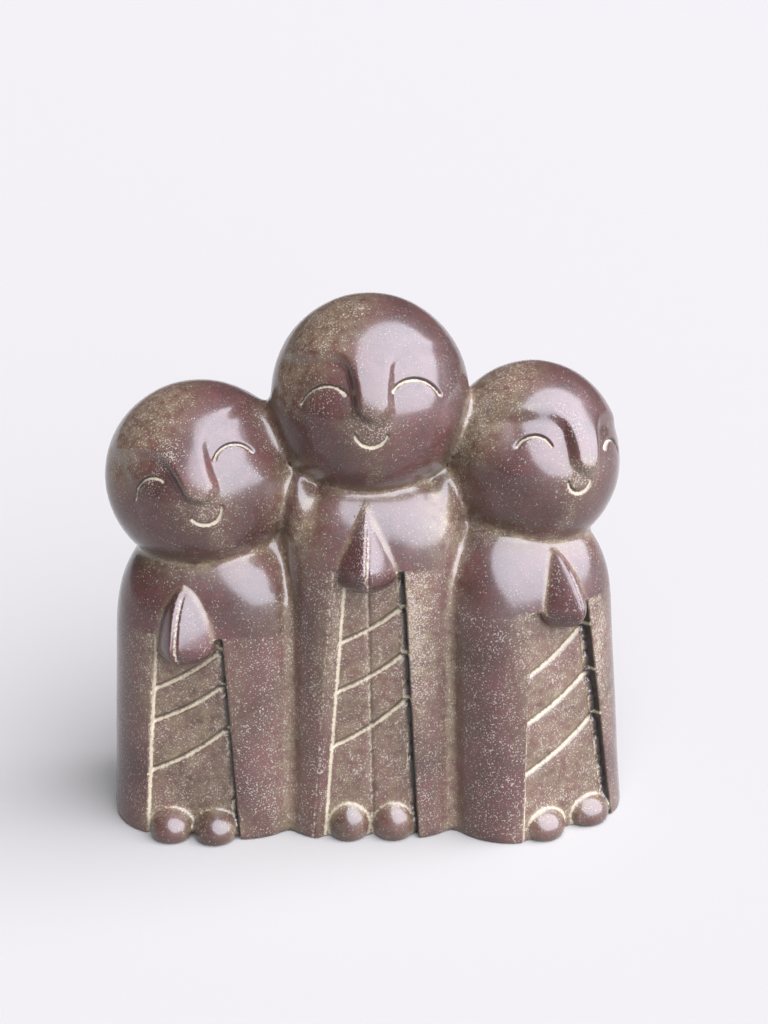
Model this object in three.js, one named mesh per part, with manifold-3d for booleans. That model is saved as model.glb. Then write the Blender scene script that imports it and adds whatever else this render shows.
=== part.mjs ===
// A garden statue of three small jizo monks standing side by side, cast in stone as one piece.
// Millimetres, +Z up. The faces look along -Y and +X is on the viewer's right.
// The origin is on the ground, under the middle of the statue's box.
import * as THREE from 'three';
import { mergeVertices } from 'three/addons/utils/BufferGeometryUtils.js';
import Module from 'manifold-3d';

// ---- Driving dimensions ----

const robe = {
  halfDepth: 43,
  taper: 0.055, // how much narrower a robe is 100 mm up
  shoulderRound: 2.6, // exponent of the shoulder's curve
};

const panel = {
  recess: 4.6, // how far the flat front panel lies behind the robe's front
  foldCut: 1.5, // half width and depth of the cut between two folds
  foldLift: 0.35, // share of a fold's rise that comes late, near its right end
};

const footDepth = 10;

const hands = {
  halfDepth: 15,
  lean: 15,
  widest: 0.26, // where up the hands they are widest
  grooveX: 1.8, // the groove between the palms
  groove: 0.9,
};

// The values on the head are parts of its radius, and angles are in degrees.
const face = {
  noseX: 0.03,
  noseHeight: 0.088,
  noseTip: -0.235,
  noseHalfWidth: 0.125,
  bridgeHalfWidth: 0.18,
  bridgeTop: 0.5,
  brow: 0.48, // height of the brow's edge, over the eyes
  browRise: 0, // how fast it climbs outwards
  browCorner: 0.25,
  wall: [0.1, 0.17], // how broad the step to the eye is, beside the nose and under the brow
  socketDepth: [0.07, 0.036], // on the left and on the right
  cheek: -0.4, // height at which the socket has run out into the cheek
  lidHeight: 0.02,
  eyeX: 0.452,
  eyeY: -0.165,
  eyeRadius: 0.276,
  eyeFrom: 24,
  eyeTo: 142,
  mouthY: -0.335,
  mouthRadius: 0.172,
  mouthFrom: 199,
  mouthTo: 333,
  lineCut: 0.95, // half width of the cut lines of eyes and mouth, in mm
};

const leftFace = { ...face, browRise: 0.25, eyeX: 0.463, eyeY: -0.032, eyeRadius: 0.204 };
Object.assign(leftFace, { eyeFrom: 14, eyeTo: 146, mouthTo: 342 });

const rightFace = { ...face, brow: 0.44, noseTip: -0.2, eyeX: 0.517, eyeY: -0.038 };
Object.assign(rightFace, { eyeRadius: 0.176, eyeFrom: 20, eyeTo: 158 });
Object.assign(rightFace, { mouthY: -0.287, mouthRadius: 0.149, mouthFrom: 203, mouthTo: 352 });

// The fill in each valley between two monks: its place, and its depth to the front and back at the
// ground, at the shoulders and at its top.
const fills = [
  { x: -33, y: -0.3, halfWidth: 7, depths: [34, 29, 14], shoulder: 112, top: 141 },
  { x: 39, y: 0.5, halfWidth: 7, depths: [34, 28, 14], shoulder: 112, top: 141 },
];

// The smooth swelling over each fill that closes the gap between the heads and the tall robe.
const swells = [
  { at: [-27, -0.5, 151], radii: [11, 29, 25] },
  { at: [36, 1, 149], radii: [11, 27, 23] },
];

// One row for each monk. x and y place the robe, turn is its facing and lean how far it leans to
// +X, 100 mm up. left and right are the robe's half width on that side, the exponent of its corner
// in plan (2 is an ellipse and higher is squarer) and the height where its shoulder starts to
// round. The panel's edges are given at the ground and at its top, and bevel is how far each of
// its walls slopes. folds gives each cut across the panel as its height at the left edge and its
// rise to the right edge. The hands' blunt exponents shape their sides and their tip. The head has
// its own place, radii, yaw to the right, pitch and roll.
const monks = [
  {
    x: -74.5, y: 0.5, turn: -5, lean: 2.5, top: 142,
    left: [41.8, 2.6, 88], right: [48, 3.4, 102],
    panel: { low: [-21, 22], high: [-16, 13.5], top: 100, bevel: [1, 0.6] },
    folds: [[32, 24], [57, 20], [73, 21]],
    pleat: false,
    feet: { x: 0.5, spread: 10.2, width: 9.8, height: 13.5, reach: 50 },
    hands: { x: -3, z: 87.3, height: 37.6, turn: -15, halfWidth: 13.6, blunt: [2.4, 0.62] },
    head: { x: -71.33, y: -1, z: 163.25, radii: [42.98, 42.98, 42.07], face: leftFace },
    look: { yaw: -1.7, pitch: 18.9, roll: 23.1 },
  },
  {
    x: 2, y: -1, turn: 1, lean: 1, top: 171,
    left: [41, 3.4, 126], right: [44, 3.4, 128],
    panel: { low: [-20, 22.5], high: [-11, 14], top: 132, bevel: [5.5, 0.6] },
    folds: [[46, 25], [73, 20], [97, 18]],
    pleat: true,
    feet: { x: 1.25, spread: 10.2, width: 9.6, height: 17.5, reach: 45.2 },
    hands: { x: -2.2, z: 122.7, height: 39.5, turn: -4, halfWidth: 14, blunt: [1.35, 0.85] },
    head: { x: 3.6, y: -1, z: 200.6, radii: [43.5, 43.5, 44.6], face },
    look: { yaw: -0.2, pitch: 18.6, roll: 3.9 },
  },
  {
    x: 76, y: 2, turn: 32, lean: -6, top: 150,
    left: [48, 2.8, 96], right: [41.5, 2.8, 104],
    panel: { low: [-27.5, 21.5], high: [-17.5, 11.5], top: 112, bevel: [0.8, 0.6] },
    folds: [[33, 22], [58, 19.5], [81, 19.5]],
    pleat: false,
    feet: { x: -1.8, spread: 12.3, width: 10.6, height: 13.5, reach: 46 },
    hands: { x: -0.5, z: 102.3, height: 36.5, turn: 0, halfWidth: 12, blunt: [1.6, 0.7] },
    head: { x: 75.62, y: 5, z: 169.85, radii: [40.1, 40.1, 42.85], face: rightFace },
    look: { yaw: 31.8, pitch: 20, roll: -12 },
  },
];

const facets = {
  robe: 40,
  shoulder: 6,
  head: 32,
  faceRings: 9, // narrow rings around the face, up to faceAngle from its middle
  faceAngle: 41,
  backRings: 8,
  hand: 14,
  foot: 10,
  swell: 20,
};

// ---- Solids and frames ----

const wasm = await Module();
wasm.setup();
const { Manifold, Mesh } = wasm;

const radians = THREE.MathUtils.degToRad;
const smoothstep = THREE.MathUtils.smoothstep;
const lerp = THREE.MathUtils.lerp;

function solid(geometry) {
  geometry.deleteAttribute('normal');
  geometry.deleteAttribute('uv');
  const merged = mergeVertices(geometry, 1e-3);
  const mesh = new Mesh({
    numProp: 3,
    vertProperties: new Float32Array(merged.attributes.position.array),
    triVerts: new Uint32Array(merged.index.array),
  });
  return new Manifold(mesh);
}

// Moves each vertex of a geometry by a function of its position.
function shape(geometry, move) {
  const position = geometry.attributes.position;
  const point = new THREE.Vector3();
  for (let i = 0; i < position.count; i += 1) {
    point.fromBufferAttribute(position, i);
    move(point);
    position.setXYZ(i, point.x, point.y, point.z);
  }
  return geometry;
}

// A robe stands at its place, turned to its facing and sheared by its lean.
function robeFrame(monk) {
  const turned = new THREE.Matrix4().makeRotationZ(radians(monk.turn));
  const leaning = new THREE.Matrix4().makeShear(0, 0, 0, 0, monk.lean / 100, 0);
  return leaning.multiply(turned).setPosition(monk.x, monk.y, 0);
}

function lookFrame({ yaw, pitch, roll }) {
  const frame = new THREE.Matrix4().makeRotationZ(radians(yaw));
  frame.multiply(new THREE.Matrix4().makeRotationX(radians(-pitch)));
  return frame.multiply(new THREE.Matrix4().makeRotationY(radians(-roll)));
}

// ---- Robe ----

// The height where the shoulder starts to round, which changes from one side to the other.
function robeShoulder(monk, x) {
  const [half] = x < 0 ? monk.left : monk.right;
  return lerp(monk.left[2], monk.right[2], smoothstep(x / half, -0.5, 0.5));
}

function robeScale(monk, z, shoulder) {
  const tapered = 1 - (robe.taper * Math.max(z, 0)) / 100;
  const rise = Math.max(0, (z - shoulder) / (monk.top - shoulder));
  const p = robe.shoulderRound;
  return tapered * Math.max(0, 1 - rise ** p) ** (1 / p);
}

// The reach of the robe's plan at height 0 in a direction given by its cosine and sine.
function robeReach(monk, across, deep) {
  const [half, n] = across < 0 ? monk.left : monk.right;
  return (Math.abs(across / half) ** n + Math.abs(deep / robe.halfDepth) ** n) ** (-1 / n);
}

// The y of the robe's front surface.
function robeFront(monk, x, z) {
  const scale = robeScale(monk, z, robeShoulder(monk, x));
  const [half, n] = x < 0 ? monk.left : monk.right;
  const across = Math.min(1, Math.abs(x) / (half * scale));
  return -robe.halfDepth * scale * (1 - across ** n) ** (1 / n);
}

function robeSolid(monk) {
  // The profile counts rings: ring 0 is on the ground, ring 1 where the shoulder starts.
  const rings = facets.shoulder + 1;
  const profile = [new THREE.Vector2(0, 0)];
  for (let ring = 0; ring < rings; ring += 1) profile.push(new THREE.Vector2(1, ring));
  profile.push(new THREE.Vector2(0, rings));
  const geometry = new THREE.LatheGeometry(profile, facets.robe).rotateX(Math.PI / 2);
  shape(geometry, (point) => {
    const ring = Math.round(point.z);
    if (ring === rings) {
      point.set(0, 0, monk.top);
      return;
    }
    if (Math.hypot(point.x, point.y) < 1e-6) return;
    const reach = robeReach(monk, point.x, point.y);
    point.x *= reach;
    point.y *= reach;
    if (ring === 0) return;
    const shoulder = robeShoulder(monk, point.x);
    const angle = ((ring - 1) / facets.shoulder) * (Math.PI / 2);
    point.z = lerp(shoulder, monk.top, Math.sin(angle));
    const scale = robeScale(monk, point.z, shoulder);
    point.x *= scale;
    point.y *= scale;
  });
  return solid(geometry.applyMatrix4(robeFrame(monk)));
}

// ---- Front panel: a shallow recess with cuts between its folds ----

function panelEdge(monk, z, side) {
  const { low, high, top } = monk.panel;
  const index = side < 0 ? 0 : 1;
  return lerp(low[index], high[index], z / top);
}

// The panel is flat across and follows the robe's taper upwards.
const panelSlope = (robe.taper * robe.halfDepth) / 100;

function panelFloor(z) {
  return panel.recess - robe.halfDepth + panelSlope * z;
}

function panelCutter(monk) {
  const below = -20;
  const { top } = monk.panel;
  const outline = new THREE.Shape([
    new THREE.Vector2(panelEdge(monk, below, -1), below),
    new THREE.Vector2(panelEdge(monk, below, 1), below),
    new THREE.Vector2(panelEdge(monk, top, 1), top),
    new THREE.Vector2(panelEdge(monk, top, -1), top),
  ]);
  const depth = 20;
  const geometry = new THREE.ExtrudeGeometry(outline, { depth, bevelEnabled: false });
  const [leftBevel, rightBevel] = monk.panel.bevel;
  shape(geometry, (point) => {
    // Each wall slopes outwards to the front.
    const outwards = point.x < 0 ? -leftBevel : rightBevel;
    point.x += (outwards * point.z) / panel.recess;
  });
  geometry.rotateX(Math.PI / 2);
  geometry.rotateX(-Math.atan(panelSlope));
  geometry.translate(0, panelFloor(0), 0);
  return solid(geometry.applyMatrix4(robeFrame(monk)));
}

// A cutter of six sides that follows a curve.
function lineCutter(points, halfWidth, steps, frame) {
  const section = new THREE.Shape();
  for (let i = 0; i < 6; i += 1) {
    const angle = (i / 6) * 2 * Math.PI;
    const x = halfWidth * Math.cos(angle);
    const y = halfWidth * Math.sin(angle);
    if (i === 0) section.moveTo(x, y);
    else section.lineTo(x, y);
  }
  const extrudePath = new THREE.CatmullRomCurve3(points);
  const geometry = new THREE.ExtrudeGeometry(section, { steps, extrudePath, bevelEnabled: false });
  return solid(geometry.applyMatrix4(frame));
}

function foldCutter(monk, [low, rise]) {
  const points = [];
  const count = 5;
  for (let i = 0; i < count; i += 1) {
    const share = i / (count - 1);
    const z = low + rise * ((1 - panel.foldLift) * share + panel.foldLift * share ** 2);
    const x = lerp(panelEdge(monk, z, -1), panelEdge(monk, z, 1), share);
    points.push(new THREE.Vector3(x, panelFloor(z), z));
  }
  return lineCutter(points, panel.foldCut, count - 1, robeFrame(monk));
}

function pleatCutter(monk) {
  const top = monk.hands.z;
  const points = [];
  const count = 4;
  for (let i = 0; i < count; i += 1) {
    const z = lerp(monk.feet.height, top, i / (count - 1));
    const x = 2 - (3.5 * z) / top;
    points.push(new THREE.Vector3(x, panelFloor(z), z));
  }
  return lineCutter(points, panel.foldCut * 0.8, count, robeFrame(monk));
}

// ---- Feet and praying hands ----

function footSolid(monk, side) {
  const { x, spread, width, height, reach } = monk.feet;
  const geometry = new THREE.SphereGeometry(1, facets.foot, facets.foot * 0.75);
  geometry.rotateX(Math.PI / 2);
  const lift = height * 0.35;
  geometry.scale(width, footDepth, height - lift);
  geometry.translate(x + side * spread, footDepth - reach, lift);
  return solid(geometry.applyMatrix4(robeFrame(monk)));
}

// The half width of the pressed hands, from the wrists (0) to the finger tips (1).
function handsWidth(monk, share) {
  const { widest } = hands;
  if (share < widest) return Math.sqrt(Math.max(0, 1 - (1 - share / widest) ** 2));
  const [side, tip] = monk.hands.blunt;
  return (1 - ((share - widest) / (1 - widest)) ** side) ** tip;
}

// Towards the front the two palms close to a ridge, as their plan has this exponent there.
const ridge = 1.25;

function handsFrame(monk) {
  const { x, z, height, turn } = monk.hands;
  const frame = robeFrame(monk);
  const y = robeFront(monk, x, z + height * hands.widest);
  frame.multiply(new THREE.Matrix4().makeTranslation(x, y, z));
  frame.multiply(new THREE.Matrix4().makeRotationX(radians(-hands.lean)));
  return frame.multiply(new THREE.Matrix4().makeRotationZ(radians(turn)));
}

function handsSolid(monk) {
  const { height, halfWidth } = monk.hands;
  const profile = [];
  const rows = 8;
  for (let i = 0; i <= rows; i += 1) {
    const share = i / rows;
    const end = i === 0 || i === rows;
    profile.push(new THREE.Vector2(end ? 0 : handsWidth(monk, share), share * height));
  }
  const geometry = new THREE.LatheGeometry(profile, facets.hand).rotateX(Math.PI / 2);
  shape(geometry, (point) => {
    const radius = Math.hypot(point.x, point.y);
    const plan = Math.abs(point.x) ** ridge + Math.abs(point.y) ** ridge;
    const reach = point.y < 0 && radius > 1e-6 ? radius / plan ** (1 / ridge) : 1;
    point.x *= halfWidth * reach;
    point.y *= hands.halfDepth * reach;
  });
  return solid(geometry.applyMatrix4(handsFrame(monk)));
}

function handsCutter(monk) {
  const points = [];
  const rows = 6;
  for (let i = 0; i <= rows; i += 1) {
    const share = lerp(0.08, 0.94, i / rows);
    const across = (hands.grooveX / monk.hands.halfWidth) ** ridge;
    const deep = Math.max(0, handsWidth(monk, share) ** ridge - across) ** (1 / ridge);
    points.push(new THREE.Vector3(hands.grooveX, -hands.halfDepth * deep, share * monk.hands.height));
  }
  return lineCutter(points, hands.groove, rows, handsFrame(monk));
}

// ---- Head with its face ----

// The relief of the face as a part of the radius, where u is to the right on the face and v up.
function faceRelief(own, u, v) {
  const side = Math.abs(u - own.noseX);
  const half = lerp(own.noseHalfWidth, own.bridgeHalfWidth, smoothstep(v, -0.1, 0.45));
  const fromNose = Math.hypot(side, Math.min(0, v - own.noseTip - half)) / half;
  const bridge = 1 - smoothstep(v, own.noseTip, own.bridgeTop);
  const onRight = smoothstep(u - own.noseX, -0.1, 0.1);
  const flank = 1 - smoothstep(fromNose, 0.75, lerp(1.55, 1.9, onRight));
  const nose = own.noseHeight * bridge * flank;
  // The socket is what lies beside the nose and under the brow, with a round corner between them.
  const brow = own.brow + own.browRise * Math.max(side - 0.3, 0);
  const beside = Math.max(own.browCorner - (side - half), 0);
  const under = Math.max(own.browCorner - (brow - v), 0);
  const reach = Math.hypot(beside, under);
  const wall = lerp(own.wall[0], own.wall[1], under / (reach + 1e-6));
  let socket = smoothstep(own.browCorner - reach, 0, wall);
  socket *= smoothstep(v, own.cheek, 0.15) * (1 - smoothstep(side, 0.7, 1));
  const fromEye = Math.hypot(side - own.eyeX, v - own.eyeY);
  const lid = own.lidHeight * Math.exp(-((fromEye / 0.22) ** 2));
  const w = Math.sqrt(Math.max(0, 1 - u * u - v * v));
  const depth = lerp(own.socketDepth[0], own.socketDepth[1], onRight);
  return (nose - depth * socket + lid) * smoothstep(w, 0.1, 0.5);
}

// A point on the head, from its place (u, v) on the face.
function facePoint(monk, u, v) {
  const { head, look } = monk;
  const w = Math.sqrt(Math.max(0, 1 - u * u - v * v));
  const point = new THREE.Vector3(u, -w, v).applyMatrix4(lookFrame(look));
  point.multiplyScalar(1 + faceRelief(head.face, u, v));
  point.multiply(new THREE.Vector3(...head.radii));
  return point.add(new THREE.Vector3(head.x, head.y, head.z));
}

// The angle between the middle of the face and each ring of the head.
function ringAngle(ring) {
  const { faceRings, faceAngle, backRings } = facets;
  if (ring <= faceRings) return radians((faceAngle * ring) / faceRings);
  return radians(lerp(faceAngle, 180, (ring - faceRings) / backRings));
}

function headSolid({ head, look }) {
  const rings = facets.faceRings + facets.backRings;
  const geometry = new THREE.SphereGeometry(1, facets.head, rings);
  const frame = lookFrame(look);
  const centre = new THREE.Vector3(head.x, head.y, head.z);
  const radii = new THREE.Vector3(...head.radii);
  shape(geometry, (point) => {
    // The sphere's pole is turned to the face, where its rings are narrow.
    const ring = Math.round((Math.acos(THREE.MathUtils.clamp(point.y, -1, 1)) / Math.PI) * rings);
    const polar = ringAngle(ring);
    const round = Math.atan2(point.z, point.x);
    const out = Math.sin(polar);
    point.set(out * Math.cos(round), -Math.cos(polar), -out * Math.sin(round));
    const relief = point.y < 0 ? faceRelief(head.face, point.x, point.z) : 0;
    point.applyMatrix4(frame);
    point.multiplyScalar(1 + relief).multiply(radii).add(centre);
  });
  return solid(geometry);
}

// A cut line along part of a circle on the face, from one angle to another, in degrees.
function arcCutter(monk, x, y, radius, from, to) {
  const points = [];
  const count = 7;
  for (let i = 0; i < count; i += 1) {
    const angle = radians(lerp(from, to, i / (count - 1)));
    points.push(facePoint(monk, x + radius * Math.cos(angle), y + radius * Math.sin(angle)));
  }
  return lineCutter(points, face.lineCut, count - 1, new THREE.Matrix4());
}

function faceCutters(monk) {
  const own = monk.head.face;
  const { eyeX, eyeY, eyeRadius, eyeFrom, eyeTo } = own;
  return [
    arcCutter(monk, -eyeX, eyeY, eyeRadius, 180 - eyeTo, 180 - eyeFrom),
    arcCutter(monk, eyeX, eyeY, eyeRadius, eyeFrom, eyeTo),
    arcCutter(monk, 0, own.mouthY, own.mouthRadius, own.mouthFrom, own.mouthTo),
  ];
}

// ---- The fill in the valley between two monks ----

function fillSolid({ x, y, halfWidth, depths, shoulder, top }) {
  const outline = new THREE.Shape([
    new THREE.Vector2(-depths[0], 0),
    new THREE.Vector2(depths[0], 0),
    new THREE.Vector2(depths[1], shoulder),
    new THREE.Vector2(depths[2], top),
    new THREE.Vector2(-depths[2], top),
    new THREE.Vector2(-depths[1], shoulder),
  ]);
  const geometry = new THREE.ExtrudeGeometry(outline, { depth: 2 * halfWidth, bevelEnabled: false });
  geometry.translate(0, 0, -halfWidth).rotateX(Math.PI / 2).rotateZ(Math.PI / 2);
  return solid(geometry.translate(x, y, 0));
}

function swellSolid({ at, radii }) {
  const geometry = new THREE.SphereGeometry(1, facets.swell, facets.swell * 0.75);
  geometry.rotateX(Math.PI / 2).scale(...radii).translate(...at);
  return solid(geometry);
}

// ---- The whole statue ----

function monkSolid(monk) {
  let body = robeSolid(monk).subtract(panelCutter(monk));
  for (const fold of monk.folds) body = body.subtract(foldCutter(monk, fold));
  if (monk.pleat) body = body.subtract(pleatCutter(monk));
  for (const side of [-1, 1]) body = body.add(footSolid(monk, side));
  body = body.add(handsSolid(monk).subtract(handsCutter(monk)));
  let head = headSolid(monk);
  for (const cutter of faceCutters(monk)) head = head.subtract(cutter);
  return body.add(head);
}

function statueGeometry() {
  const ground = solid(new THREE.BoxGeometry(400, 400, 40).translate(0, 0, -20));
  const parts = [...monks.map(monkSolid), ...fills.map(fillSolid), ...swells.map(swellSolid)];
  const statue = Manifold.union(parts).subtract(ground);
  const mesh = statue.getMesh();
  const geometry = new THREE.BufferGeometry();
  geometry.setAttribute('position', new THREE.BufferAttribute(mesh.vertProperties, 3));
  geometry.setIndex(new THREE.BufferAttribute(mesh.triVerts, 1));
  geometry.computeBoundingBox();
  const middle = geometry.boundingBox.getCenter(new THREE.Vector3());
  return geometry.translate(-middle.x, -middle.y, 0);
}

const stone = new THREE.MeshStandardMaterial({ color: 0x5e3f43, roughness: 0.42, metalness: 0 });
const statue = new THREE.Mesh(statueGeometry(), stone);
statue.name = 'jizo_trio';

const group = new THREE.Group();
group.add(statue);

export default group;
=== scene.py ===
"""A garden statue of three small jizo monks, cast as one piece and rubbed with a pale lime wash.

Everything is in metres, +Z up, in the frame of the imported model. The tables of the figures are
in millimetres, and MM turns them into metres.
"""
import math

import bmesh
import bpy
import numpy as np
from mathutils import Matrix, Vector


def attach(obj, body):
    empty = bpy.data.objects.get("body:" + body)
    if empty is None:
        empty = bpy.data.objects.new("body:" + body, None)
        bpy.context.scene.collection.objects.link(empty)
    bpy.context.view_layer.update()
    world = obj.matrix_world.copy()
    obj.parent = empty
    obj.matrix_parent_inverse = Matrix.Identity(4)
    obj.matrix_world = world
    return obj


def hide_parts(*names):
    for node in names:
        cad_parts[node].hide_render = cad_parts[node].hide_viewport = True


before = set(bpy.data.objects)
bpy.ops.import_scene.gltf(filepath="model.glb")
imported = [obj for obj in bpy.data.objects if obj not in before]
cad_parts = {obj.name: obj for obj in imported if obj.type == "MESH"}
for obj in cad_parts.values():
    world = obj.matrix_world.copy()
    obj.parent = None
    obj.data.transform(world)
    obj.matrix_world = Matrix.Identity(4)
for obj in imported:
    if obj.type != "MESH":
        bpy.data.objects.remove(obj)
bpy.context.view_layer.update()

MM = 0.001
NODE = "jizo_trio"

# ---- The figures, as in the solid ----

# The middle of the statue's box, in the layout of the figures.
LAYOUT_MIDDLE = np.array([2.568, -2.143, 0.0])

ROBE = dict(half_depth=43.0, taper=0.055, shoulder_round=2.6)

PANEL = dict(recess=4.6, fold_lift=0.35)

FOOT_DEPTH = 10.0

HANDS = dict(half_depth=15.0, lean=15.0, widest=0.26)

# The places and sizes on a face are parts of the head's radius, and angles are in degrees. brow
# is the height of the brow's edge, and wall how broad the step down from it to the eye is, beside
# the nose and over the eye.
FACE = dict(
    nose_x=0.03, nose_height=0.088, nose_tip=-0.235, nose_half_width=0.125,
    bridge_half_width=0.18, bridge_top=0.5,
    brow=0.48, brow_rise=0.0, brow_corner=0.25, wall=(0.1, 0.17), socket_depth=(0.07, 0.036), cheek=-0.4,
    lid_height=0.02,
    eye_x=0.452, eye_y=-0.165, eye_radius=0.276, eye_from=24.0, eye_to=142.0,
    mouth_y=-0.335, mouth_radius=0.172, mouth_from=199.0, mouth_to=333.0,
)

# The fill in each valley between two monks: its place across, and its depth to the front and back
# at the ground, at the shoulders and at its top.
FILLS = [
    dict(x=-33.0, y=-0.3, half_width=7.0, depths=(34.0, 29.0, 14.0), shoulder=112.0, top=141.0),
    dict(x=39.0, y=0.5, half_width=7.0, depths=(34.0, 28.0, 14.0), shoulder=112.0, top=141.0),
]

# The smooth swelling over each fill that closes the gap between the heads and the tall robe.
SWELLS = [
    dict(at=(-27.0, -0.5, 151.0), radii=(11.0, 29.0, 25.0)),
    dict(at=(36.0, 1.0, 149.0), radii=(11.0, 27.0, 23.0)),
]

# One row for each monk. x and y place the robe, turn is its facing and lean how far it leans to
# +X, 100 mm up. Each side has the robe's half width, the exponent of its corner in plan and the
# height where its shoulder starts to round. The panel's edges are given at the ground and at its
# top, and bevel is how far each of its walls slopes. folds gives each fold's height at the left
# edge and its rise. face has what is this monk's own in the face, fillet is the head's fillet low
# down and high up, and brow_dust and dust are how thickly flecks lie on the brow and on the robe.
MONKS = [
    dict(
        x=-74.5, y=0.5, turn=-5.0, lean=2.5, top=142.0,
        left=(41.8, 2.6, 88.0), right=(48.0, 3.4, 102.0),
        panel=dict(low=(-21.0, 22.0), high=(-16.0, 13.5), top=100.0, bevel=(1.0, 0.6)),
        folds=[(32.0, 24.0), (57.0, 20.0), (73.0, 21.0)],
        pleat=False,
        feet=dict(x=0.5, spread=10.2, width=9.8, height=13.5, reach=50.0),
        hands=dict(x=-3.0, z=87.3, height=37.6, turn=-15.0, half_width=13.6, blunt=(2.4, 0.62)),
        head=dict(
            at=(-71.33, -1.0, 163.25), radii=(42.98, 42.98, 42.07), yaw=-1.7, pitch=18.9, roll=23.1,
            fillet=(3.5, 3.5), brow_dust=0.85,
            face=dict(brow_rise=0.25, eye_x=0.463, eye_y=-0.032, eye_radius=0.204, eye_from=14.0,
                      eye_to=146.0, mouth_to=342.0),
        ),
        dust=(0.55, 0.35),
    ),
    dict(
        x=2.0, y=-1.0, turn=1.0, lean=1.0, top=171.0,
        left=(41.0, 3.4, 126.0), right=(44.0, 3.4, 128.0),
        panel=dict(low=(-20.0, 22.5), high=(-11.0, 14.0), top=132.0, bevel=(5.5, 0.6)),
        folds=[(46.0, 25.0), (73.0, 20.0), (97.0, 18.0)],
        pleat=True,
        feet=dict(x=1.25, spread=10.2, width=9.6, height=17.5, reach=45.2),
        hands=dict(x=-2.2, z=122.7, height=39.5, turn=-4.0, half_width=14.0, blunt=(1.35, 0.85)),
        head=dict(
            at=(3.6, -1.0, 200.6), radii=(43.5, 43.5, 44.6), yaw=-0.2, pitch=18.6, roll=3.9,
            fillet=(3.5, 10.0), brow_dust=0.25, face=dict(),
        ),
        dust=(0.75, 1.1),
    ),
    dict(
        x=76.0, y=2.0, turn=32.0, lean=-6.0, top=150.0,
        left=(48.0, 2.8, 96.0), right=(41.5, 2.8, 104.0),
        panel=dict(low=(-27.5, 21.5), high=(-17.5, 11.5), top=112.0, bevel=(0.8, 0.6)),
        folds=[(33.0, 22.0), (58.0, 19.5), (81.0, 19.5)],
        pleat=False,
        feet=dict(x=-1.8, spread=12.3, width=10.6, height=13.5, reach=46.0),
        hands=dict(x=-0.5, z=102.3, height=36.5, turn=0.0, half_width=12.0, blunt=(1.6, 0.7)),
        head=dict(
            at=(75.62, 5.0, 169.85), radii=(40.1, 40.1, 42.85), yaw=31.8, pitch=20.0, roll=-12.0,
            fillet=(3.5, 4.0), brow_dust=0.6,
            face=dict(brow=0.44, nose_tip=-0.2, wall=(0.1, 0.17), eye_x=0.517, eye_y=-0.038,
                      eye_radius=0.176, eye_from=20.0, eye_to=158.0, mouth_y=-0.287,
                      mouth_radius=0.149, mouth_from=203.0, mouth_to=352.0),
        ),
        dust=(0.6, 0.9),
    ),
]

# How softly the forms run into each other, in millimetres.
SOFT = dict(robes=4.0, hands=1.6, feet=1.4, panel_edge=1.2, panel_corner=1.0, ground=1.6)

# Depth and half width of the carved lines, in millimetres.
LINES = dict(
    fold_cut=(1.0, 0.8), fold_swell=(0.9, 3.2), pleat=(0.9, 1.0), seam=(2.6, 1.6), eye=(1.1, 0.75),
    mouth=(1.1, 0.75), palms=(1.0, 0.9),
)

# ---- Small measures ----


def smoothstep(value, low, high):
    share = np.clip((value - low) / (high - low), 0.0, 1.0)
    return share * share * (3.0 - 2.0 * share)


def lerp(low, high, share):
    return low + (high - low) * share


def bell(distance, width):
    return np.exp(-((distance / width) ** 2))


def soft_min(a, b, width):
    """The nearer of two forms, with a fillet where they meet."""
    near = np.clip(width - np.abs(a - b), 0.0, None) / width
    return np.minimum(a, b) - near * near * width / 4.0


def soft_max(a, b, width):
    return -soft_min(-a, -b, width)


def turn_matrix(axis, degrees):
    return np.array(Matrix.Rotation(math.radians(degrees), 3, axis))


# ---- Robe and its front panel ----


def robe_space(monk, points):
    """Points in the robe's own frame: unleaned, moved to its middle and turned to its facing."""
    moved = points - np.array([monk["x"], monk["y"], 0.0])
    moved[:, 0] -= points[:, 2] * monk["lean"] / 100.0
    return moved @ turn_matrix("Z", monk["turn"])


def robe_taper(z):
    return 1.0 - ROBE["taper"] * np.maximum(z, 0.0) / 100.0


def robe_side(monk, x):
    """The robe's half width, corner exponent and shoulder height, on each point's own side."""
    side = np.where(x < 0.0, 0, 1)
    half = np.array([monk["left"][0], monk["right"][0]])[side]
    corner = np.array([monk["left"][1], monk["right"][1]])[side]
    across = smoothstep(x / half, -0.5, 0.5)
    return half, corner, lerp(monk["left"][2], monk["right"][2], across)


def robe_scale(monk, z, shoulder):
    """How much narrower the robe is at a height, towards its shoulders."""
    rise = np.clip((z - shoulder) / (monk["top"] - shoulder), 0.0, 1.0)
    power = ROBE["shoulder_round"]
    return robe_taper(z) * (1.0 - rise ** power) ** (1.0 / power)


def robe_form(monk, local):
    x, y, z = local.T
    half, corner, shoulder = robe_side(monk, x)
    plan = (np.abs(x) / half) ** corner + (np.abs(y) / ROBE["half_depth"]) ** corner
    plan = plan ** (1.0 / corner) / robe_taper(z)
    rise = np.maximum((z - shoulder) / (monk["top"] - shoulder), 0.0)
    power = ROBE["shoulder_round"]
    return ((plan ** power + rise ** power) ** (1.0 / power) - 1.0) * ROBE["half_depth"]


def robe_front(monk, x, z):
    """The y of the robe's front at a place across it."""
    half, corner, shoulder = [float(value) for value in robe_side(monk, np.float64(x))]
    scale = robe_scale(monk, z, shoulder)
    return -ROBE["half_depth"] * scale * (1.0 - (abs(x) / (half * scale)) ** corner) ** (1.0 / corner)


def panel_edges(monk, z):
    panel = monk["panel"]
    share = z / panel["top"]
    left = lerp(panel["low"][0], panel["high"][0], share)
    right = lerp(panel["low"][1], panel["high"][1], share)
    return left, right


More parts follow.
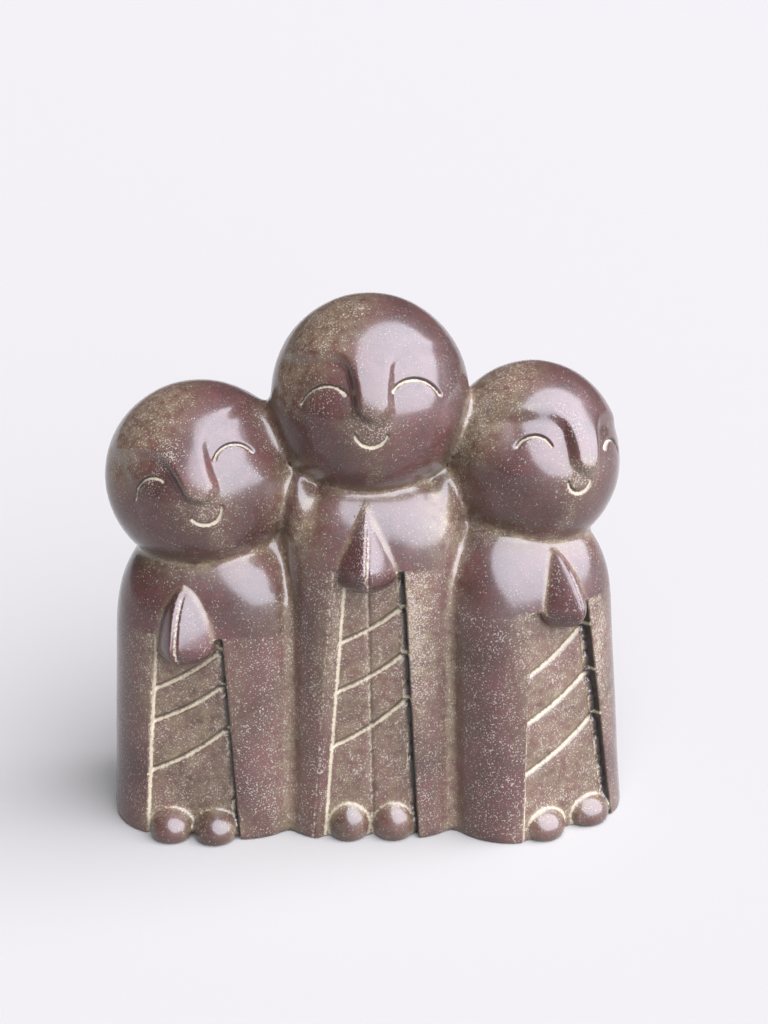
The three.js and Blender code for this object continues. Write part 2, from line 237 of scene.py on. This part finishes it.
def panel_depth(local):
    """How far a point lies behind the flat floor of the panel."""
    slope = ROBE["taper"] * ROBE["half_depth"] / 100.0
    return local[:, 1] - (PANEL["recess"] - ROBE["half_depth"] + slope * local[:, 2])


def fold_distances(monk, local):
    """The distance above each cut between two folds, across the panel."""
    x, z = local[:, 0], local[:, 2]
    left, right = panel_edges(monk, z)
    share = np.clip((x - left) / (right - left), -0.1, 1.1)
    lift = PANEL["fold_lift"]
    found = []
    for low, rise in monk["folds"]:
        height = low + rise * ((1.0 - lift) * share + lift * share ** 2)
        slope = rise * ((1.0 - lift) + 2.0 * lift * share) / (right - left)
        found.append((z - height) / np.sqrt(1.0 + slope ** 2))
    return found


def pleat_distance(monk, local):
    x, z = local[:, 0], local[:, 2]
    return x - (2.0 - 3.5 * z / monk["hands"]["z"])


def panel_relief(monk, local):
    """How much deeper than the panel's floor the cuts go."""
    cut_depth, cut_width = LINES["fold_cut"]
    swell_depth, swell_width = LINES["fold_swell"]
    depth = np.zeros(len(local))
    for above in fold_distances(monk, local):
        depth = np.maximum(depth, swell_depth * np.exp(-np.abs(above) / swell_width)
                           + cut_depth * bell(above, cut_width))
    if monk["pleat"]:
        pleat_depth, pleat_width = LINES["pleat"]
        across = pleat_distance(monk, local)
        depth = np.maximum(depth, 0.6 * np.exp(-np.abs(across) / 2.5)
                           + pleat_depth * bell(across, pleat_width))
    seam_depth, seam_width = LINES["seam"]
    right = panel_edges(monk, local[:, 2])[1]
    return depth + seam_depth * bell(local[:, 0] - right + 0.8, seam_width)


def panel_hollow(monk, local):
    x, z = local[:, 0], local[:, 2]
    left, right = panel_edges(monk, z)
    behind = panel_depth(local)
    slopes = [bevel / PANEL["recess"] for bevel in monk["panel"]["bevel"]]
    left_wall = ((left - x) + behind * slopes[0]) / math.hypot(1.0, slopes[0])
    right_wall = ((x - right) + behind * slopes[1]) / math.hypot(1.0, slopes[1])
    corner = SOFT["panel_corner"]
    walls = soft_max(left_wall, right_wall, corner)
    ends = soft_max(behind - panel_relief(monk, local), z - monk["panel"]["top"], corner)
    return soft_max(walls, ends, corner)


def robe_with_panel(monk, local):
    return soft_max(robe_form(monk, local), -panel_hollow(monk, local), SOFT["panel_edge"])


# ---- Feet and hands ----


def foot_form(monk, local, side):
    feet = monk["feet"]
    lift = feet["height"] * 0.35
    centre = np.array([feet["x"] + side * feet["spread"], FOOT_DEPTH - feet["reach"], lift])
    radii = np.array([feet["width"], FOOT_DEPTH, feet["height"] - lift])
    return (np.linalg.norm((local - centre) / radii, axis=1) - 1.0) * radii.min()


def hands_width(monk, share):
    """The half width of the pressed hands, from the wrists (0) to the finger tips (1)."""
    widest = HANDS["widest"]
    wrist = np.sqrt(np.clip(1.0 - (1.0 - share / widest) ** 2, 0.0, None))
    up = np.clip((share - widest) / (1.0 - widest), 0.0, 1.0)
    round_side, round_tip = monk["hands"]["blunt"]
    return np.where(share < widest, wrist, (1.0 - up ** round_side) ** round_tip)


def hands_space(monk, local):
    at = monk["hands"]
    y = robe_front(monk, at["x"], at["z"] + at["height"] * HANDS["widest"])
    moved = local - np.array([at["x"], y, at["z"]])
    axes = turn_matrix("X", -HANDS["lean"]) @ turn_matrix("Z", at["turn"])
    return moved @ axes


def hands_form(monk, local):
    x, y, z = hands_space(monk, local).T
    half, height = monk["hands"]["half_width"], monk["hands"]["height"]
    share = np.clip(z / height, 0.0, 1.0)
    across = np.abs(x) / half
    deep = y / HANDS["half_depth"]
    ridge = 1.25
    front = (across ** ridge + np.abs(deep) ** ridge) ** (1.0 / ridge)
    plan = np.where(deep < 0.0, front, np.hypot(across, deep)) - hands_width(monk, share)
    plan *= half
    groove_depth, groove_width = LINES["palms"]
    plan += groove_depth * bell(x - 1.8, groove_width) * smoothstep(-deep, 0.2, 0.6)
    return soft_max(plan, np.maximum(-z, z - height), 2.0)


# ---- Head and face ----


def head_axes(head):
    turned = turn_matrix("Z", head["yaw"]) @ turn_matrix("X", -head["pitch"])
    return turned @ turn_matrix("Y", -head["roll"])


def face_place(head, points):
    """Each point's place on the face (u to the right, v up, w out) and its size in radii."""
    scaled = (points - np.array(head["at"])) / np.array(head["radii"])
    size = np.maximum(np.linalg.norm(scaled, axis=1), 1e-6)
    unit = (scaled / size[:, None]) @ head_axes(head)
    return unit[:, 0], unit[:, 2], -unit[:, 1], size


def face_relief(face, u, v):
    """How far the nose and the brow stand out, in radii, and the eyes lie back between them."""
    side = np.abs(u - face["nose_x"])
    half = lerp(face["nose_half_width"], face["bridge_half_width"], smoothstep(v, -0.1, 0.45))
    from_nose = np.hypot(side, np.minimum(0.0, v - face["nose_tip"] - half)) / half
    bridge = 1.0 - smoothstep(v, face["nose_tip"], face["bridge_top"])
    on_right = smoothstep(u - face["nose_x"], -0.1, 0.1)
    nose = face["nose_height"] * bridge * (1.0 - smoothstep(from_nose, 0.75, lerp(1.55, 1.9, on_right)))
    corner = face["brow_corner"]
    beside = np.maximum(corner - (side - half), 0.0)
    brow = face["brow"] + face["brow_rise"] * np.maximum(side - 0.3, 0.0)
    under = np.maximum(corner - (brow - v), 0.0)
    reach = np.hypot(beside, under)
    wall = lerp(face["wall"][0], face["wall"][1], under / (reach + 1e-6))
    socket = smoothstep(corner - reach, 0.0, wall)
    socket *= smoothstep(v, face["cheek"], 0.15) * (1.0 - smoothstep(side, 0.7, 1.0))
    lid = bell(np.hypot(side - face["eye_x"], v - face["eye_y"]), 0.22)
    depth = lerp(face["socket_depth"][0], face["socket_depth"][1], on_right)
    return nose - depth * socket + face["lid_height"] * lid


def arc_distance(u, v, x, y, radius, start, end):
    """The distance to a part of a circle on the face, from one angle to another in degrees."""
    angle = np.degrees(np.arctan2(v - y, u - x)) % 360.0
    middle = (start + end) / 2.0
    half = (end - start) / 2.0
    off = (angle - middle + 180.0) % 360.0 - 180.0
    nearest = np.radians(middle + np.clip(off, -half, half))
    return np.hypot(u - x - radius * np.cos(nearest), v - y - radius * np.sin(nearest))


def eye_distance(face, u, v):
    x, y, radius = face["eye_x"], face["eye_y"], face["eye_radius"]
    right = arc_distance(u, v, x, y, radius, face["eye_from"], face["eye_to"])
    left = arc_distance(u, v, -x, y, radius, 180.0 - face["eye_to"], 180.0 - face["eye_from"])
    return np.minimum(right, left)


def mouth_distance(face, u, v):
    return arc_distance(
        u, v, 0.0, face["mouth_y"], face["mouth_radius"], face["mouth_from"], face["mouth_to"]
    )


def head_form(head, points):
    u, v, w, size = face_place(head, points)
    face = {**FACE, **head["face"]}
    radius = head["radii"][0]
    eye_depth, eye_width = LINES["eye"]
    mouth_depth, mouth_width = LINES["mouth"]
    relief = face_relief(face, u, v) * smoothstep(w, 0.1, 0.5)
    relief -= bell(eye_distance(face, u, v) * radius, eye_width) * eye_depth / radius
    relief -= bell(mouth_distance(face, u, v) * radius, mouth_width) * mouth_depth / radius
    return (size - 1.0 - relief * smoothstep(w, 0.0, 0.25)) * radius


# ---- The whole statue ----


def fill_form(fill, points):
    x = np.abs(points[:, 0] - fill["x"])
    y = np.abs(points[:, 1] - fill["y"])
    z = points[:, 2]
    depth = np.interp(z, (0.0, fill["shoulder"], fill["top"]), fill["depths"])
    return np.maximum(np.maximum(x - fill["half_width"], y - depth), z - fill["top"])


def swell_form(swell, points):
    radii = np.array(swell["radii"])
    return (np.linalg.norm((points - np.array(swell["at"])) / radii, axis=1) - 1.0) * radii.min()


def statue_forms(points):
    """The forms that the statue is joined from, each as a distance from its surface."""
    robes, heads, hands, feet = [], [], [], []
    for monk in MONKS:
        local = robe_space(monk, points)
        robes.append(robe_with_panel(monk, local))
        heads.append(head_form(monk["head"], points))
        hands.append(hands_form(monk, local))
        feet += [foot_form(monk, local, side) for side in (-1, 1)]
    fills = [fill_form(fill, points) for fill in FILLS]
    fills += [swell_form(swell, points) for swell in SWELLS]
    return robes, fills, heads, hands, feet


def statue_distance(points):
    robes, fills, heads, hands, feet = statue_forms(points)
    whole = robes[0]
    for form in robes[1:] + fills:
        whole = soft_min(whole, form, SOFT["robes"])
    high_up = smoothstep(points[:, 2], 165.0, 185.0)
    for monk, form in zip(MONKS, heads):
        low, high = monk["head"]["fillet"]
        whole = soft_min(whole, form, lerp(low, high, high_up))
    for form in hands:
        whole = soft_min(whole, form, SOFT["hands"])
    for form in feet:
        whole = soft_min(whole, form, SOFT["feet"])
    whole += hand_wobble(points)
    return soft_max(whole, -points[:, 2], SOFT["ground"])


def hand_wobble(points):
    """The slight unevenness of a surface rubbed smooth by hand."""
    x, y, z = points.T
    slow = np.sin(x / 9.1 + 0.7) * np.sin(z / 10.3 + y / 13.0) + np.sin(y / 8.3 + x / 17.0 + z / 21.0)
    quick = np.sin(x / 3.9 + z / 5.1) * np.sin(z / 4.3 - y / 3.7 + 1.1)
    return 0.12 * slow + 0.04 * quick


# ---- From the forms to a mesh ----


def read_points(mesh):
    co = np.empty(len(mesh.vertices) * 3)
    mesh.vertices.foreach_get("co", co)
    return co.reshape(-1, 3) / MM + LAYOUT_MIDDLE


def write_points(mesh, points):
    mesh.vertices.foreach_set("co", ((points - LAYOUT_MIDDLE) * MM).ravel())
    mesh.update()


def press_on(mesh, rounds, step_limit):
    """Moves each vertex straight onto the surface of the forms."""
    points = read_points(mesh)
    probe = 0.04
    for _ in range(rounds):
        slope = np.empty_like(points)
        for axis in range(3):
            shift = np.zeros(3)
            shift[axis] = probe
            slope[:, axis] = statue_distance(points + shift) - statue_distance(points - shift)
        slope /= 2.0 * probe
        steep = np.maximum((slope ** 2).sum(axis=1), 0.05)
        move = slope * (statue_distance(points) / steep)[:, None]
        length = np.linalg.norm(move, axis=1)
        move *= np.minimum(1.0, step_limit / np.maximum(length, 1e-9))[:, None]
        points -= move
    points[:, 2] = np.maximum(points[:, 2], 0.0)
    write_points(mesh, points)


def remeshed(mesh, voxel):
    piece = bpy.data.objects.new("rough_stone", mesh)
    bpy.context.scene.collection.objects.link(piece)
    remesh = piece.modifiers.new("even_faces", "REMESH")
    remesh.mode = "VOXEL"
    remesh.voxel_size = voxel * MM
    remesh.adaptivity = 0.0
    even = bpy.data.meshes.new_from_object(piece.evaluated_get(bpy.context.evaluated_depsgraph_get()))
    bpy.data.objects.remove(piece)
    return even


def fineness(points):
    """1 where broad carving asks for finer faces and 2 where a line is cut."""
    level = np.zeros(len(points))
    for monk in MONKS:
        local = robe_space(monk, points)
        left, right = panel_edges(monk, local[:, 2])
        x, z = local[:, 0], local[:, 2]
        front = (local[:, 1] < -20.0) & (z < monk["panel"]["top"] + 4.0)
        near_panel = front & (x > left - 6.0) & (x < right + 4.0)
        level[near_panel] = np.maximum(level[near_panel], 1)
        lines = fold_distances(monk, local) + [x - left, x - right]
        if monk["pleat"]:
            lines.append(pleat_distance(monk, local))
        near = np.min(np.abs(lines), axis=0) < 2.2
        level[near_panel & near] = 2
        hands = hands_form(monk, local)
        level[np.abs(hands) < 2.0] = 2
        head = monk["head"]
        u, v, w, _ = face_place(head, points)
        face = {**FACE, **head["face"]}
        on_face = (w > 0.2) & (np.hypot(u, v + 0.05) < 0.9) & (np.abs(head_form(head, points)) < 3.0)
        level[on_face] = np.maximum(level[on_face], 1)
        lines = np.minimum(eye_distance(face, u, v), mouth_distance(face, u, v))
        level[on_face & (lines * head["radii"][0] < 2.6)] = 3
        nose = (np.abs(u - face["nose_x"]) < 0.3) & (v > -0.45) & (v < 0.55)
        level[on_face & nose] = np.maximum(level[on_face & nose], 2)
        for side in (-1, 1):
            foot = np.abs(foot_form(monk, local, side)) < 1.5
            level[foot] = np.maximum(level[foot], 1)
    return level


def refine(mesh, level):
    """Cuts each face in four where the carving asks for it."""
    bm = bmesh.new()
    bm.from_mesh(mesh)
    centres = np.array([face.calc_center_median() for face in bm.faces]) / MM + LAYOUT_MIDDLE
    wanted = fineness(centres) >= level
    edges = {edge for face, want in zip(bm.faces, wanted) if want for edge in face.edges}
    bmesh.ops.subdivide_edges(bm, edges=list(edges), cuts=1, use_grid_fill=True)
    bm.to_mesh(mesh)
    bm.free()


def carved_stone():
    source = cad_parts[NODE].data
    bm = bmesh.new()
    bm.from_mesh(source)
    bmesh.ops.remove_doubles(bm, verts=bm.verts, dist=0.01 * MM)
    rough = bpy.data.meshes.new("rough_stone")
    bm.to_mesh(rough)
    bm.free()
    mesh = remeshed(rough, 2.2)
    press_on(mesh, 5, 2.0)
    for level in (1, 2, 3):
        refine(mesh, level)
        press_on(mesh, 3, 0.8)
    return mesh


# ---- Where the lime wash, the pale flecks and the tan film lie, and where shade is painted dark ----


def add_marks(mesh):
    """Writes how much wash, flecks and film lie at each vertex, and how much painted shade darkens it,
    from 0 to 1.
    """
    points = read_points(mesh)
    robes, fills, heads, hands, feet = statue_forms(points)
    near = np.sort(np.abs(robes + fills + heads + feet), axis=0)[1]
    wash = 0.85 * bell(near, 1.2)
    flecks = 0.1 + 0.45 * np.exp(-near / 6.0)
    film = 0.85 * np.exp(-near / 4.0)
    painted_shade = np.zeros(len(points))
    for monk, robe, form, hand in zip(MONKS, robes, heads, hands):
        local = robe_space(monk, points)
        left, right = panel_edges(monk, local[:, 2])
        x, z = local[:, 0], local[:, 2]
        on_front = (local[:, 1] < -20.0) & (z < monk["panel"]["top"] + 1.0) & (np.abs(robe) < 1.5)
        on_floor = on_front & (x > left - 1.0) & (x < right + 1.0)
        drawn = [bell(above + 0.5, 0.9) for above in fold_distances(monk, local)]
        if monk["pleat"]:
            drawn.append(0.7 * bell(pleat_distance(monk, local), 1.0))
        drawn.append(bell(x - left - 0.2, 1.0))
        drawn.append(0.8 * bell(x - right + 2.6, 0.9))
        wash = np.maximum(wash, np.where(on_floor, np.max(drawn, axis=0), 0.0))
        above_fold = [np.exp(-np.maximum(above, 0.0) / 3.0) * (above > -1.0)
                      for above in fold_distances(monk, local)]
        film = np.maximum(film, np.where(on_floor, 0.4 + 0.4 * np.max(above_fold, axis=0), 0.0))
        if monk["pleat"]:
            lip = x - left + monk["panel"]["bevel"][0]
            wash = np.maximum(wash, np.where(on_front, 0.65 * bell(lip, 0.8), 0.0))
        beside = monk["dust"][0] * bell(left - x, 10.0) * (x < left)
        beside += monk["dust"][1] * bell(x - right, 14.0) * (x > right)
        beside *= smoothstep(z, 20.0, monk["panel"]["top"] * 0.75)
        film = np.maximum(film, np.where(on_front, 0.7 * beside, 0.0))
        # Painted shadow: dark in the seam beside the panel's right wall, where the wall's shadow falls.
        seam = bell(x - right + 0.3, 1.2)
        painted_shade = np.maximum(painted_shade, np.where(on_front, np.where(x > right - 3.5, seam, 0.0), 0.0))
        # Painted shade: a dark band just above each cut, under the overhanging lower edge of the fold
        # above.
        shade = [0.6 * bell(above - 1.3, 0.9) for above in fold_distances(monk, local)]
        painted_shade = np.maximum(painted_shade, np.where(on_floor, np.max(shade, axis=0), 0.0))
        flecks = np.maximum(flecks, np.where(on_front, np.maximum(beside, 0.45), 0.0))

        hx, hy, _ = hands_space(monk, local).T
        groove = 0.7 * bell(hx - 1.6, 0.8) * smoothstep(-hy, 5.0, 9.0) * bell(hand, 2.0)
        wash = np.maximum(wash, groove)
        flecks = np.maximum(flecks, (0.3 + 0.5 * monk["pleat"] * bell(hx + 0.5, 2.5)) * bell(hand, 2.0))
        beneath = bell(np.maximum(np.abs(hand), np.abs(robe)), 1.4)
        wash = np.maximum(wash, 0.35 * beneath)
        film = np.maximum(film, 0.6 * beneath)

        head = monk["head"]
        u, v, w, _ = face_place(head, points)
        face = {**FACE, **head["face"]}
        radius = head["radii"][0]
        on_face = smoothstep(w, 0.0, 0.2) * (np.abs(form) < 2.5)
        lines = np.minimum(eye_distance(face, u, v + 0.012), mouth_distance(face, u, v + 0.012))
        wash = np.maximum(wash, on_face * bell(lines * radius, 0.75))
        # Painted shade: a thin dark line along the upper edge of each eye and mouth line.
        lines = np.minimum(eye_distance(face, u, v - 0.012), mouth_distance(face, u, v - 0.012))
        painted_shade = np.maximum(painted_shade, 0.7 * on_face * bell(lines * radius, 0.55))
        mouth = 0.75 * bell(np.hypot(u, v - face["mouth_y"]), 0.27)
        brow = head["brow_dust"] * bell(np.hypot(u + 0.15, v - 0.3), 0.22)
        nose = 0.6 * bell(np.hypot(u + 0.03, v + 0.2), 0.14)
        eye = 0.45 * bell(np.hypot(u + face["eye_x"], v - face["eye_y"] - 0.15), 0.25)
        chin = 0.55 * bell(np.hypot(u * 2.0, v + 0.7), 0.25)
        flecks = np.maximum(flecks, on_face * np.max([mouth, brow, nose, eye, chin], axis=0))
        film = np.maximum(film, 0.5 * on_face * np.max([mouth, chin], axis=0))
        away = (points - np.array(head["at"])) @ np.array([-0.75, -0.1, 0.65]) / radius
        rubbed = smoothstep(away, 0.45, 0.9) * (np.abs(form) < 2.5)
        film = np.maximum(film, 0.55 * rubbed)
        flecks = np.maximum(flecks, 0.55 * rubbed)
    for name, values in (("wash", wash), ("flecks", flecks), ("film", film), ("painted_shade", painted_shade)):
        mesh.attributes.new(name, "FLOAT", "POINT").data.foreach_set("value", values.astype(np.float32))


# ---- Materials ----


def linear(hex_colour):
    """An sRGB hex colour as linear red, green, blue and alpha."""
    parts = [int(hex_colour[i:i + 2], 16) / 255.0 for i in (1, 3, 5)]
    return [c / 12.92 if c <= 0.04045 else ((c + 0.055) / 1.055) ** 2.4 for c in parts] + [1.0]


def add_node(tree, kind, settings=None, links=None):
    """Adds a node with its properties or socket values, and links its inputs to other sockets."""
    node = tree.nodes.new(kind)
    for name, value in (settings or {}).items():
        if isinstance(name, str) and hasattr(node, name):
            setattr(node, name, value)
        else:
            node.inputs[name].default_value = value
    for name, source in (links or {}).items():
        tree.links.new(source, node.inputs[name])
    return node


def new_material(name):
    material = bpy.data.materials.new(name)
    material.use_nodes = True
    material.node_tree.nodes.clear()
    return material, material.node_tree


def grains(millimetres):
    """A noise scale whose grains are about this size."""
    return 1.0 / (millimetres * MM)


def rubbed_cast_stone():
    """Dyed cast stone, rubbed and waxed: dark maroon with a clear, soft-edged sheen. Lime wash
    stays pale and dry in its cuts, fills its pores as fine flecks and greys it as a thin film."""
    material, tree = new_material("rubbed_cast_stone")
    place = add_node(tree, "ShaderNodeTexCoord").outputs["Object"]
    wash = add_node(tree, "ShaderNodeAttribute", {"attribute_name": "wash"}).outputs["Fac"]
    flecks = add_node(tree, "ShaderNodeAttribute", {"attribute_name": "flecks"}).outputs["Fac"]
    film = add_node(tree, "ShaderNodeAttribute", {"attribute_name": "film"}).outputs["Fac"]
    # Painted shade: how dark the seams, cut edges and face lines are painted.
    painted_shade = add_node(tree, "ShaderNodeAttribute", {"attribute_name": "painted_shade"}).outputs["Fac"]

    clouds = add_node(
        tree, "ShaderNodeTexNoise", {"Scale": grains(24.0), "Detail": 3.0}, {"Vector": place}
    ).outputs["Fac"]
    mottle = add_node(
        tree, "ShaderNodeTexNoise", {"Scale": grains(4.5), "Detail": 4.0, "Roughness": 0.62},
        {"Vector": place},
    ).outputs["Fac"]
    grain = add_node(
        tree, "ShaderNodeTexNoise", {"Scale": grains(0.8), "Detail": 2.0}, {"Vector": place}
    ).outputs["Fac"]
    ragged = add_node(
        tree, "ShaderNodeTexNoise", {"Scale": grains(1.4), "Detail": 3.0, "Roughness": 0.65},
        {"Vector": place},
    ).outputs["Fac"]

    # Dyed stone: two tones of maroon in soft clouds, darker in the mottle, dusty in the grain.
    share = add_node(
        tree, "ShaderNodeMapRange", {"From Min": 0.36, "From Max": 0.64}, {"Value": clouds}
    ).outputs["Result"]
    stone = add_node(
        tree, "ShaderNodeMix", {"data_type": "RGBA", 6: linear("#2c1712"), 7: linear("#402422")},
        {0: share},
    ).outputs[2]
    share = add_node(
        tree, "ShaderNodeMapRange", {"From Min": 0.38, "From Max": 0.7, "To Max": 0.6},
        {"Value": mottle},
    ).outputs["Result"]
    stone = add_node(
        tree, "ShaderNodeMix", {"data_type": "RGBA", 7: linear("#201210")}, {0: share, 6: stone}
    ).outputs[2]
    share = add_node(
        tree, "ShaderNodeMapRange", {"From Min": 0.45, "From Max": 0.75, "To Max": 0.35},
        {"Value": grain},
    ).outputs["Result"]
    stone = add_node(
        tree, "ShaderNodeMix", {"data_type": "RGBA", 7: linear("#4d3834")}, {0: share, 6: stone}
    ).outputs[2]

    # Film: a thin olive grey haze where the wash was wiped over and not quite off.
    share = add_node(
        tree, "ShaderNodeMath", {"operation": "MULTIPLY_ADD", 1: 1.4, 2: -0.35}, {0: mottle}
    ).outputs["Value"]
    share = add_node(
        tree, "ShaderNodeMath", {"operation": "MULTIPLY", "use_clamp": True}, {0: share, 1: film}
    ).outputs["Value"]
    colour = add_node(
        tree, "ShaderNodeMix", {"data_type": "RGBA", 7: linear("#857858")}, {0: share, 6: stone}
    ).outputs[2]

    # Flecks: pores filled with wash, thicker in patches.
    patches = add_node(
        tree, "ShaderNodeTexNoise", {"Scale": grains(9.0), "Detail": 3.0, "Roughness": 0.6},
        {"Vector": place},
    ).outputs["Fac"]
    thick = add_node(
        tree, "ShaderNodeMath", {"operation": "MULTIPLY_ADD", 1: 1.4}, {0: patches, 2: flecks}
    ).outputs["Value"]
    limit = add_node(
        tree, "ShaderNodeMapRange",
        {"From Min": 0.6, "From Max": 1.7, "To Min": 0.72, "To Max": 0.5}, {"Value": thick},
    ).outputs["Result"]
    pores = add_node(
        tree, "ShaderNodeTexNoise", {"Scale": grains(0.75), "Detail": 1.5}, {"Vector": place}
    ).outputs["Fac"]
    over = add_node(
        tree, "ShaderNodeMath", {"operation": "SUBTRACT"}, {0: pores, 1: limit}
    ).outputs["Value"]
    fleck_mask = add_node(
        tree, "ShaderNodeMapRange", {"From Min": -0.03, "From Max": 0.07, "To Max": 0.7},
        {"Value": over},
    ).outputs["Result"]
    fleck_colour = add_node(
        tree, "ShaderNodeMix", {"data_type": "RGBA", 6: linear("#696059"), 7: linear("#8c837a")},
        {0: clouds},
    ).outputs[2]
    colour = add_node(
        tree, "ShaderNodeMix", {"data_type": "RGBA"}, {0: fleck_mask, 6: colour, 7: fleck_colour}
    ).outputs[2]

    # Painted shade: near-black in the deepest seam, along the upper edge of each cut and of each eye and
    # mouth line.
    share = add_node(
        tree, "ShaderNodeMapRange", {"From Min": 0.25, "From Max": 0.7, "To Max": 0.9}, {"Value": painted_shade}
    ).outputs["Result"]
    colour = add_node(
        tree, "ShaderNodeMix", {"data_type": "RGBA", 7: linear("#0f0b0a")}, {0: share, 6: colour}
    ).outputs[2]

    # Wash: dry cream lime left in the cuts and creases, with a broken edge.
    broken = add_node(
        tree, "ShaderNodeMath", {"operation": "MULTIPLY_ADD", 1: 1.5}, {0: ragged, 2: wash}
    ).outputs["Value"]
    wash_mask = add_node(
        tree, "ShaderNodeMapRange", {"From Min": 1.22, "From Max": 1.6}, {"Value": broken}
    ).outputs["Result"]
    wash_colour = add_node(
        tree, "ShaderNodeMix", {"data_type": "RGBA", 6: linear("#6b6352"), 7: linear("#948a76")},
        {0: mottle},
    ).outputs[2]
    colour = add_node(
        tree, "ShaderNodeMix", {"data_type": "RGBA"}, {0: wash_mask, 6: colour, 7: wash_colour}
    ).outputs[2]

    pale = add_node(
        tree, "ShaderNodeMath", {"operation": "MAXIMUM"}, {0: fleck_mask, 1: wash_mask}
    ).outputs["Value"]
    wax = add_node(
        tree, "ShaderNodeMapRange", {"To Min": 1.0, "To Max": 0.1}, {"Value": pale}
    ).outputs["Result"]
    gloss = add_node(
        tree, "ShaderNodeMapRange",
        {"From Min": 0.3, "From Max": 0.7, "To Min": 0.42, "To Max": 0.52}, {"Value": mottle},
    ).outputs["Result"]
    rough = add_node(
        tree, "ShaderNodeMix", {"data_type": "FLOAT", 3: 0.85}, {0: pale, 2: gloss}
    ).outputs[0]

    height = add_node(
        tree, "ShaderNodeMath", {"operation": "MULTIPLY_ADD", 1: 0.4}, {0: mottle, 2: grain}
    ).outputs["Value"]
    height = add_node(
        tree, "ShaderNodeMath", {"operation": "MULTIPLY_ADD", 1: -0.8}, {0: pale, 2: height}
    ).outputs["Value"]
    bump = add_node(
        tree, "ShaderNodeBump", {"Strength": 0.4, "Distance": 0.15 * MM}, {"Height": height}
    ).outputs["Normal"]
    shader = add_node(
        tree, "ShaderNodeBsdfPrincipled",
        {"IOR": 1.36, "Coat Roughness": 0.18, "Coat IOR": 1.4},
        {"Base Color": colour, "Roughness": rough, "Normal": bump, "Coat Weight": wax},
    ).outputs["BSDF"]
    add_node(tree, "ShaderNodeOutputMaterial", links={"Surface": shader})
    return material


def floor_paint():
    """Matt studio paint: pale, even and without gloss."""
    material, tree = new_material("matt_studio_paint")
    shader = add_node(
        tree, "ShaderNodeBsdfPrincipled", {"Base Color": linear("#7d7a75"), "Roughness": 0.9}
    ).outputs["BSDF"]
    add_node(tree, "ShaderNodeOutputMaterial", links={"Surface": shader})
    return material


# ---- Floor, light and camera ----


def direction(azimuth, elevation):
    """The way from the statue to a place around it. Azimuth 0 is in front, 90 on the right."""
    a, e = math.radians(azimuth), math.radians(elevation)
    return Vector((math.sin(a) * math.cos(e), -math.cos(a) * math.cos(e), math.sin(e)))


def facing(thing, back):
    thing.rotation_mode = "QUATERNION"
    thing.rotation_quaternion = back.to_track_quat("Z", "Y")


def add_object(name, data):
    thing = bpy.data.objects.new(name, data)
    bpy.context.scene.collection.objects.link(thing)
    return thing


def add_floor():
    bm = bmesh.new()
    bmesh.ops.create_circle(bm, cap_ends=True, radius=40.0, segments=96)
    mesh = bpy.data.meshes.new("floor")
    bm.to_mesh(mesh)
    bm.free()
    mesh.materials.append(floor_paint())
    add_object("floor", mesh)


def add_sun(name, azimuth, elevation, strength, spread, colour):
    light = bpy.data.lights.new(name, "SUN")
    light.energy = strength
    light.angle = math.radians(spread)
    light.color = linear(colour)[:3]
    facing(add_object(name, light), direction(azimuth, elevation))


def add_studio():
    world = bpy.data.worlds.new("studio")
    world.use_nodes = True
    background = world.node_tree.nodes["Background"]
    background.inputs["Color"].default_value = linear("#ececee")
    background.inputs["Strength"].default_value = 0.1
    bpy.context.scene.world = world
    bpy.context.scene.view_settings.view_transform = "Standard"
    add_sun("window_light", 50.0, 42.0, 22.0, 100.0, "#eef1ff")


CAMERA = dict(lens=69.6, height_angle=22.0, looked_at=(9.8, 8.5, 141.05), distance=0.9)


def add_camera():
    lens = bpy.data.cameras.new("camera")
    lens.lens = CAMERA["lens"]
    camera = add_object("camera", lens)
    back = direction(0.0, CAMERA["height_angle"])
    looked_at = Vector(np.array(CAMERA["looked_at"]) - LAYOUT_MIDDLE) * MM
    camera.location = looked_at + back * CAMERA["distance"]
    facing(camera, back)
    bpy.context.scene.camera = camera


# ---- Build ----

mesh = carved_stone()
add_marks(mesh)
for polygon in mesh.polygons:
    polygon.use_smooth = True
mesh.materials.append(rubbed_cast_stone())
statue = add_object("carved_stone", mesh)
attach(statue, "root")
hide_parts(NODE)

add_floor()
add_studio()
add_camera()
